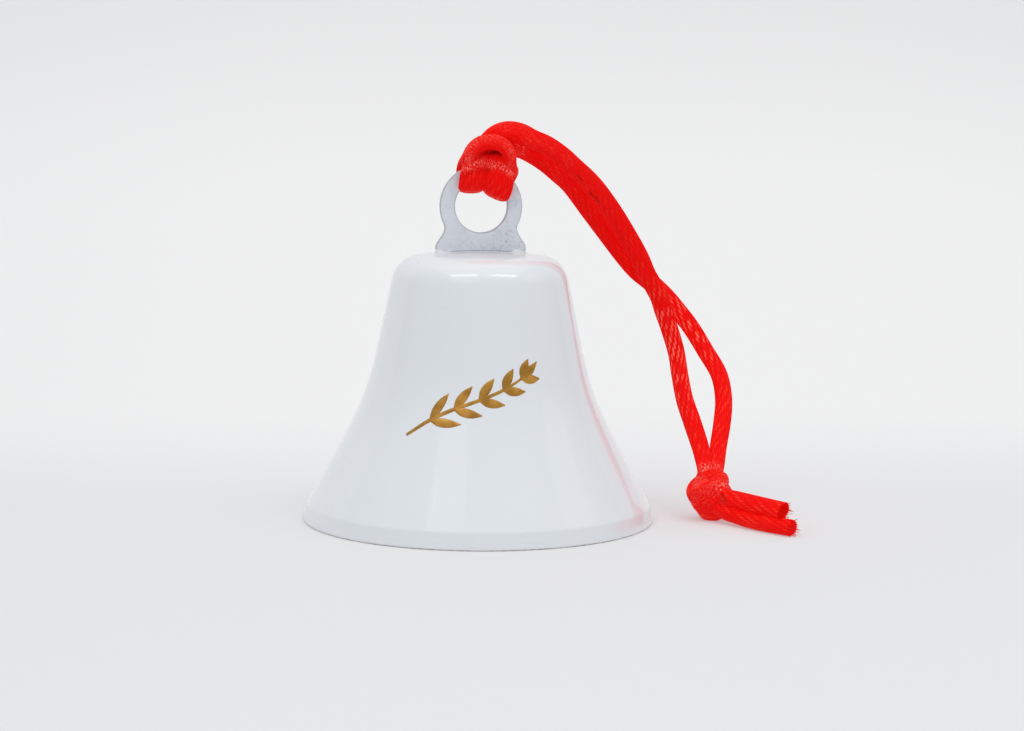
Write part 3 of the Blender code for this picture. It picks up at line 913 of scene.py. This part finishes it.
def mark_cord(mesh):
    """Painted glints across the hitch's front strands, and painted shade in the folds, the creases and the
    open end.
    """
    x, y, z = places_of(mesh)
    strand = (x < STRAND_RIGHT) & (y > STRAND_FRONT) & (y < STRAND_BACK)
    strand = strand & (z > STRAND_LOW) & (z < STRAND_HIGH)
    bow = z + BOW_SAG * (x - BOW_MIDDLE) ** 2
    set_values(mesh, "bend", np.where(strand, peak(bow, *GLINT_BOW), values_of(mesh, "bend")))
    fold = peak(z + FOLD_SAG * (x - FOLD_MIDDLE) ** 2, *FOLD) * peak(x, *FOLD_LENGTH)
    fold = fold + DARK_BOW_SHADE * peak(bow, *DARK_BOW) * (x < DARK_BOW_END)
    painted_shade = MOUTH_SHADE * peak(x, *MOUTH[0]) * peak(y, *MOUTH[1]) * peak(z, *MOUTH[2]) + knot_tuck(x, y, z)
    for crease in LEG_CREASES:
        painted_shade = painted_shade + CREASE_SHADE * fold_line(x, z, *crease)
    set_values(mesh, "painted_shade", np.where(strand, fold, painted_shade))


def fray_tree(material):
    """Nodes that stand loose threads on a ring: named inputs set their number, length and lean."""
    tree = bpy.data.node_groups.new("fray", "GeometryNodeTree")
    tree.interface.new_socket("Geometry", in_out="OUTPUT", socket_type="NodeSocketGeometry")
    tree.interface.new_socket("Geometry", in_out="INPUT", socket_type="NodeSocketGeometry")
    for name in ("Threads", "Length", "Lean"):
        tree.interface.new_socket(name, in_out="INPUT", socket_type="NodeSocketFloat")
    fray = Nodes(tree)
    ring = fray.add("NodeGroupInput")
    lean = ring.beside("Lean")
    spread = {"Mesh": ring, "Density": ring.beside("Threads"), "Seed": FRAY_SEED}
    spots = fray.add("GeometryNodeDistributePointsOnFaces", None, spread)
    cone = {"Vertices": THREAD_SIDES, "Radius Top": THREAD_TIP, "Radius Bottom": THREAD_ROOT}
    thread = fray.add("GeometryNodeMeshCone", None, {**cone, "Depth": ring.beside("Length")})
    swing = {"Min": lean * -1.0, "Max": lean}
    tilt = fray.add("FunctionNodeRandomValue", {"data_type": "FLOAT_VECTOR"}, swing)
    tilt = fray.add("FunctionNodeEulerToRotation", None, {"Euler": tilt})
    turns = {"Rotation": spots.beside("Rotation"), "Rotate By": tilt}
    turn = fray.add("FunctionNodeRotateRotation", None, turns)
    stretch = fray.add("FunctionNodeRandomValue", None, {2: SHORTEST_THREAD, 3: 1.0}, 1)
    stand = {"Points": spots, "Instance": thread, "Rotation": turn, "Scale": stretch}
    threads = fray.add("GeometryNodeInstanceOnPoints", None, stand)
    threads = fray.add("GeometryNodeRealizeInstances", None, {"Geometry": threads})
    threads = fray.add("GeometryNodeSetMaterial", None, {"Geometry": threads, "Material": material})
    fray.feed(tree.nodes.new("NodeGroupOutput").inputs["Geometry"], threads)
    return tree


def make_fray(name, tree, half, material):
    """Loose threads round the cut end of a tail."""
    end = half[-1]
    ahead = unit(end[:3] - half[-4, :3])
    facing = unit(end[3:6] - (end[3:6] @ ahead) * ahead)
    wide = np.cross(ahead, facing)
    middle = end[:3] - ahead * FRAY_INSET
    places = []
    for scale in FRAY_RING:
        for angle in np.linspace(0, 2 * pi, FRAY_SIDES, endpoint=False):
            across = wide * cos(angle) * end[6] / 2 + facing * sin(angle) * end[7] / 2
            places.append(middle + scale * across)
    faces = []
    for i in range(FRAY_SIDES):
        k = (i + 1) % FRAY_SIDES
        faces.append((FRAY_SIDES + i, FRAY_SIDES + k, k, i))
    ring = mesh_of(name, places, faces)

    def grow(passing):
        fray = passing.modifiers.new("fray", "NODES")
        fray.node_group = tree
        inputs = {item.name: item.identifier for item in tree.interface.items_tree if item.in_out == "INPUT"}
        for label, value in (("Threads", FRAY_THREADS), ("Length", FRAY_LENGTH), ("Lean", FRAY_LEAN)):
            fray[inputs[label]] = value

    mesh = rest_on_floor(evaluated_mesh(name, ring, grow))
    return add_piece(name, mesh, material, "bell", "red_satin")


def make_cords(material):
    """The one cord as two pieces that meet, unseen, behind the ring."""
    line = smooth_route(cord_rows(), CORD_STEP)
    seam = int(np.linalg.norm(line[:, :3] - SEAM_PLACE, axis=1).argmin())
    halves = {"cord_first_half": line[: seam + 1][::-1], "cord_second_half": line[seam:]}
    nodes = {
        "cord_first_half": ("cord_hitch", "cord_leg_left", "cord_tail_upper"),
        "cord_second_half": ("cord_hitch", "cord_leg_right", "cord_tail_lower"),
    }
    cords = []
    for name, half in halves.items():
        mesh = rest_on_floor(strap_mesh(name, half, CORD_SIDES, rise=RIB_RISE, tip=TAIL_TIPS[name]))
        mark_cord(mesh)
        piece = add_piece(name, mesh, material, "bell", "red_satin", *nodes[name])
        path = half[::PATH_SKIP, :3]
        cords.append((piece, path, half))
    return cords


def knot_wrap(name, normal, lift, reach, width, depth):
    """A closed turn of cord round the knot, in the plane of this normal."""
    normal = unit(np.array(normal, float))
    first = unit(np.cross(normal, (0.0, 1.0, 0.1)))
    second = np.cross(normal, first)
    rows = []
    for t in np.linspace(0, 2 * pi, 96, endpoint=False):
        out = cos(t) * first + sin(t) * second
        wobble = 1 + 0.03 * sin(2 * t + 1.0) + 0.02 * sin(3 * t)
        place = KNOT_PLACE + normal * lift + out * reach * wobble
        rows.append((*place, *out, width, depth))
    return strap_mesh(name, np.array(rows), CORD_SIDES, closed=True, rise=RIB_RISE)


def knot_core(name, axis, radius, length):
    """A ribbed ball that fills the knot, with its ribs round the axis."""
    axis = unit(np.array(axis, float))
    first = unit(np.cross(axis, (0.0, -1.0, 0.1)))
    second = np.cross(axis, first)
    rows = 40
    around = 64
    uv_width = 0.6
    uv_length = 1.7
    places = []
    for i in range(rows + 1):
        slant = pi * (0.02 + 0.96 * i / rows)
        for j in range(around):
            angle = 2 * pi * j / around
            out = cos(angle) * first + sin(angle) * second
            places.append(KNOT_PLACE + out * radius * sin(slant) - axis * length * cos(slant))
    end_uvs = [(uv_width / 2, 0.0)] * 2
    mesh = tube_mesh(
        name, places, around, lambda i, j: (uv_width * i / rows, uv_length * j / around), end_uvs
    )
    set_values(mesh, "bend", [KNOT_SHINE] * len(places))
    return mesh


def make_knot(material):
    parts = [knot_core("knot_core", KNOT_SLANT, KNOT_CORE_RADIUS, KNOT_CORE_LENGTH)]
    parts += [knot_wrap(name, *turn) for name, turn in KNOT_TURNS.items()]
    mesh = joined_mesh("knot_dressed", parts)
    x, y, z = places_of(mesh)
    # Painted glints on the knot, strongest at one height, and painted shade where the tails leave it
    set_values(mesh, "bend", values_of(mesh, "bend") * (0.15 + 1.1 * peak(z, *KNOT_GLINT)))
    set_values(mesh, "painted_shade", knot_tuck(x, y, z))
    return add_piece("knot_dressed", rest_on_floor(mesh), material, "bell", "red_satin", "cord_knot")


def surface_point(angle, height, lift):
    """The shell's outside at an angle in degrees round +Z, lifted off along its normal, and the normal."""
    pairs = shell_outside(*SHELL_STEPS)[SHELL_STEPS[0] + 1:]
    heights = [point.y for point, _ in reversed(pairs)]
    reach = np.interp(height, heights, [point.x for point, _ in reversed(pairs)])
    tilt = [np.interp(height, heights, [normal[axis] for _, normal in reversed(pairs)]) for axis in (0, 1)]
    turn = radians(angle)
    normal = np.array((tilt[0] * cos(turn), tilt[0] * sin(turn), tilt[1]))
    return np.array((reach * cos(turn), reach * sin(turn), height)) + lift * normal, normal


def brush_stroke(name, points, widths):
    """A thin stroke of paint on the shell through (angle, height) points, with a width at each."""
    knots = [(a / STROKE_TURN, h * STROKE_RISE, w) for (a, h), w in zip(points, widths)]
    rows = []
    for angle, height, width in smooth_route(knots, STROKE_STEP):
        place, normal = surface_point(angle * STROKE_TURN, height / STROKE_RISE, PAINT_LIFT)
        rows.append((*place, *normal, width, PAINT_DEPTH))
    return strap_mesh(name, np.array(rows), sides=12)


def make_sprig(material):
    """A leaf sprig in gold paint: one stem with leaves in pairs and one at its end."""
    strokes = [brush_stroke("stem", STEM, STEM_WIDTHS)]
    for i, ((angle, height), (later, above)) in enumerate(zip(STEM[1:], [*STEM[2:], STEM_AHEAD])):
        run = np.array(((later - angle) * SPRIG_DEGREE, above - height))
        run = run / np.linalg.norm(run)
        across = np.array((-run[1], run[0]))
        length = LEAF_LENGTH - LEAF_SHORTER * i
        for side in (-1, 1):
            leaf = []
            # Each leaf leaves the stem slantwise and bends back towards it
            for t in (0.0, 0.3, 0.65, 1.0):
                step = run * (0.80 * t) + side * across * (0.62 * t - 0.12 * t * t)
                leaf.append((angle + length * step[0] / SPRIG_DEGREE, height + length * step[1]))
            strokes.append(brush_stroke("leaf", leaf, LEAF_WIDTHS))
    strokes.append(brush_stroke("leaf", TIP_LEAF, TIP_WIDTHS))
    mesh = joined_mesh("sprig_dressed", strokes)
    return add_piece("sprig_dressed", mesh, material, "bell", "white_enamel")


def make_fillet(material):
    """The bead of enamel where the hanger's foot meets the crown, thicker at both ends."""
    rows = []
    half = FOOT_WIDTH / 2 - FILLET_INSET
    front = [(x, -PLATE_THICKNESS / 2) for x in np.linspace(-half, half, 24)]
    front += [(half + FILLET_TURN, y) for y in (-FILLET_TURN, FILLET_TURN)]
    for x, y in front + [(-x, -y) for x, y in front]:
        size = FILLET_WIDTH + FILLET_END * peak(abs(x), half, FILLET_REACH)
        rows.append((x, y, dome_height(abs(x)) - FILLET_SUNK, 0.0, 0.0, 1.0, size, 0.9 * size))
    mesh = strap_mesh("fillet_dressed", np.array(rows), sides=16, closed=True)
    return add_piece("fillet_dressed", mesh, material, "bell", "white_enamel")


def make_clapper(wire, plated):
    bend_wire = WIRE_RADIUS + FIT_GAP
    eye = WIRE_RADIUS + EYE_PLAY
    bend = ((PLATE_THICKNESS / 2) ** 2 + eye**2 - bend_wire**2) / (2 * (eye - bend_wire))
    bore = WIRE_RADIUS + FIT_GAP
    half_bore = sqrt(BALL_RADIUS**2 - bore**2)
    hook = [(0, bend * sin(a), -bend - bend * cos(a)) for a in HOOK_ANGLES]
    upper_stop = half_bore + FIT_GAP + STOP_LENGTH - CLAPPER_LENGTH
    lower_stop = -CLAPPER_LENGTH - half_bore - FIT_GAP
    route = smooth_route([*hook, (0, 0, -2 * bend - SHANK_LEAD)], WIRE_STEP)
    route = np.vstack([route, [(0, 0, z) for z in np.linspace(route[-1, 2], lower_stop, 40)[1:]]])
    line = np.zeros((len(route), 8))
    line[:, :3] = route + (0, 0, pivot_height())
    line[:, 3] = 1.0
    line[:, 6:] = 2 * WIRE_RADIUS
    line[0, 6:] = 1.5 * WIRE_RADIUS
    parts = [strap_mesh("rod", line, sides=44)]
    for stop in (upper_stop, lower_stop):
        top = stop + pivot_height()
        below = top - STOP_LENGTH
        flat = STOP_RADIUS - STOP_ROUND
        profile = [(0.0, top), (flat, top), (STOP_RADIUS, top - STOP_ROUND)]
        profile += [(STOP_RADIUS, below + STOP_ROUND), (flat, below), (0.0, below)]
        parts.append(turned_mesh("collar", profile, segments=32))
    rod = joined_mesh("clapper_rod_dressed", parts)
    add_piece("clapper_rod_dressed", rod, wire, "clapper", "plated_steel", "clapper_rod")
    centre = pivot_height() - CLAPPER_LENGTH
    low = acos(half_bore / BALL_RADIUS)
    angles = np.linspace(low, pi - low, 49)
    profile = [(BALL_RADIUS * sin(a), centre + BALL_RADIUS * cos(a)) for a in angles]
    ball = turned_mesh("clapper_ball_dressed", profile, segments=72, closed=True)
    add_piece("clapper_ball_dressed", ball, plated, "clapper", "plated_ball", "clapper_ball")


def make_stage():
    """A floor that sweeps up into a backdrop, both plain and pale. The paper glows a little, and its colour
    paints light that fades towards the top and the sides.
    """
    profile = [(PAPER_FRONT, 0.0)]
    profile += arc((PAPER_CURVE, PAPER_RADIUS), PAPER_RADIUS, -pi / 2, 0.0, 24)
    profile.append((PAPER_CURVE + PAPER_RADIUS, PAPER_TOP))
    places = []
    faces = []
    for y, z in profile:
        places += [(-PAPER_REACH, y, z), (PAPER_REACH, y, z)]
    for i in range(len(profile) - 1):
        faces.append((2 * i, 2 * i + 1, 2 * i + 3, 2 * i + 2))
    sweep = linked("paper_sweep", mesh_of("paper_sweep", places, faces))
    finish = Finish("pale_paper", Roughness=0.9, Specular_IOR_Level=0.1, Emission_Strength=0.5)
    across, depth, height = finish.split(finish.place())
    # Painted light: the lower wall is brightest, the floor and the upper wall a little darker, the sides
    # darker still
    paper = finish.mix(depth.step(0.0, 0.11), colour(0.514, 0.517, 0.524), colour(0.580, 0.580, 0.580))
    paper = finish.mix(height.step(0.025, 0.085), paper, colour(0.528, 0.528, 0.530))
    paper = finish.mix(abs(across - 0.06).step(0.05, 0.28) * 0.5, paper, colour(0.464, 0.467, 0.476))
    finish.set("Base Color", paper)
    finish.set("Emission Color", paper)
    sweep.data.materials.append(finish.material)


def add_lamp(name, place, aim, size, power, roll=0.0):
    data = bpy.data.lights.new(name, "AREA")
    data.shape = "RECTANGLE"
    data.size = size[0]
    data.size_y = size[1]
    data.energy = power
    lamp = linked(name, data)
    lamp.location = place
    track = (Vector(aim) - Vector(place)).to_track_quat("-Z", "Y")
    lamp.rotation_euler = (track @ Quaternion((0.0, 0.0, 1.0), radians(roll))).to_euler()


def bearing(azimuth, elevation, distance):
    """A place seen from the bell's crown: azimuth 0 is straight in front and 90 to the right."""
    a = radians(azimuth)
    e = radians(elevation)
    return (
        distance * sin(a) * cos(e), -distance * cos(a) * cos(e),
        SHELL_HEIGHT + distance * sin(e),
    )


def make_light():
    """A soft room that is dimmer in reflections, a ceiling lamp, and panes and glows round the crown."""
    world = bpy.data.worlds.new("soft_room")
    bpy.context.scene.world = world
    world.use_nodes = True
    room = Nodes(world.node_tree)
    glossy = room.add("ShaderNodeLightPath", output="Is Glossy Ray")
    lit = room.add("ShaderNodeBackground", None, {"Color": colour(0.975, 0.985, 1.0), "Strength": 0.665})
    seen = room.add("ShaderNodeBackground", None, {"Color": colour(0.9, 0.95, 1.0), "Strength": 0.36})
    both = room.add("ShaderNodeMixShader", None, {0: glossy, 1: lit, 2: seen})
    room.feed(room.tree.nodes["World Output"].inputs["Surface"], both)
    add_lamp("ceiling", (0.0, -0.10, 0.75), (0.0, 0.0, 0.0), (1.0, 0.8), 1.62)
    crown = (0.0, -0.010, SHELL_HEIGHT)
    for name, (azimuth, elevation, size, power, roll) in LAMPS.items():
        add_lamp(name, bearing(azimuth, elevation, LAMP_DISTANCE), crown, size, power, roll)


def make_camera():
    ahead = Vector((
        sin(CAMERA_HEADING) * cos(CAMERA_PITCH), cos(CAMERA_HEADING) * cos(CAMERA_PITCH), -sin(CAMERA_PITCH)
    ))
    level = Vector((cos(CAMERA_HEADING), -sin(CAMERA_HEADING), 0.0))
    upright = level.cross(ahead)
    right = cos(CAMERA_ROLL) * level + sin(CAMERA_ROLL) * upright
    up = cos(CAMERA_ROLL) * upright - sin(CAMERA_ROLL) * level
    data = bpy.data.cameras.new("camera")
    data.lens = CAMERA_LENS
    data.sensor_width = 36.0
    data.sensor_fit = "HORIZONTAL"
    data.clip_start = 0.01
    camera = linked("camera", data)
    turn = Matrix((right, up, -ahead)).transposed().to_4x4()
    camera.matrix_world = Matrix.Translation(CAMERA_PLACE) @ turn
    bpy.context.scene.camera = camera


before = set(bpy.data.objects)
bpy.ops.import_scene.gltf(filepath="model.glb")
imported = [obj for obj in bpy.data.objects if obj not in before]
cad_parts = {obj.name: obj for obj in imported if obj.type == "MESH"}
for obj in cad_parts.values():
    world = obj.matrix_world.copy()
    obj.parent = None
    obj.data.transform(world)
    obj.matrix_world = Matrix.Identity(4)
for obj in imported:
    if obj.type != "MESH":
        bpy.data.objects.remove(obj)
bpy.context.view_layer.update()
bpy.context.scene.view_settings.view_transform = "Standard"

make_camera()
make_light()
make_stage()

enamel = enamel_finish()
satin = satin_finish()
shell = turned_mesh("shell_dressed", shell_profile(), SHELL_SEGMENTS)
add_piece("shell_dressed", shell, enamel, "bell", "white_enamel", "bell_shell")
add_piece("hanger_dressed", hanger_mesh(), plate_finish(), "bell", "grey_plate", "hanger_plate")
wire = steel_finish("drawn_wire", (0.62, 0.61, 0.58), 0.22)
plated = steel_finish("turned_ball", (0.66, 0.65, 0.62), 0.16)
make_clapper(wire, plated)
make_fillet(enamel)
make_sprig(gold_finish())
knot = make_knot(satin)
cords = make_cords(satin)
fray = fray_tree(satin)
for piece, path, half in cords:
    ends = make_fray("fray_" + piece.name, fray, half, satin)
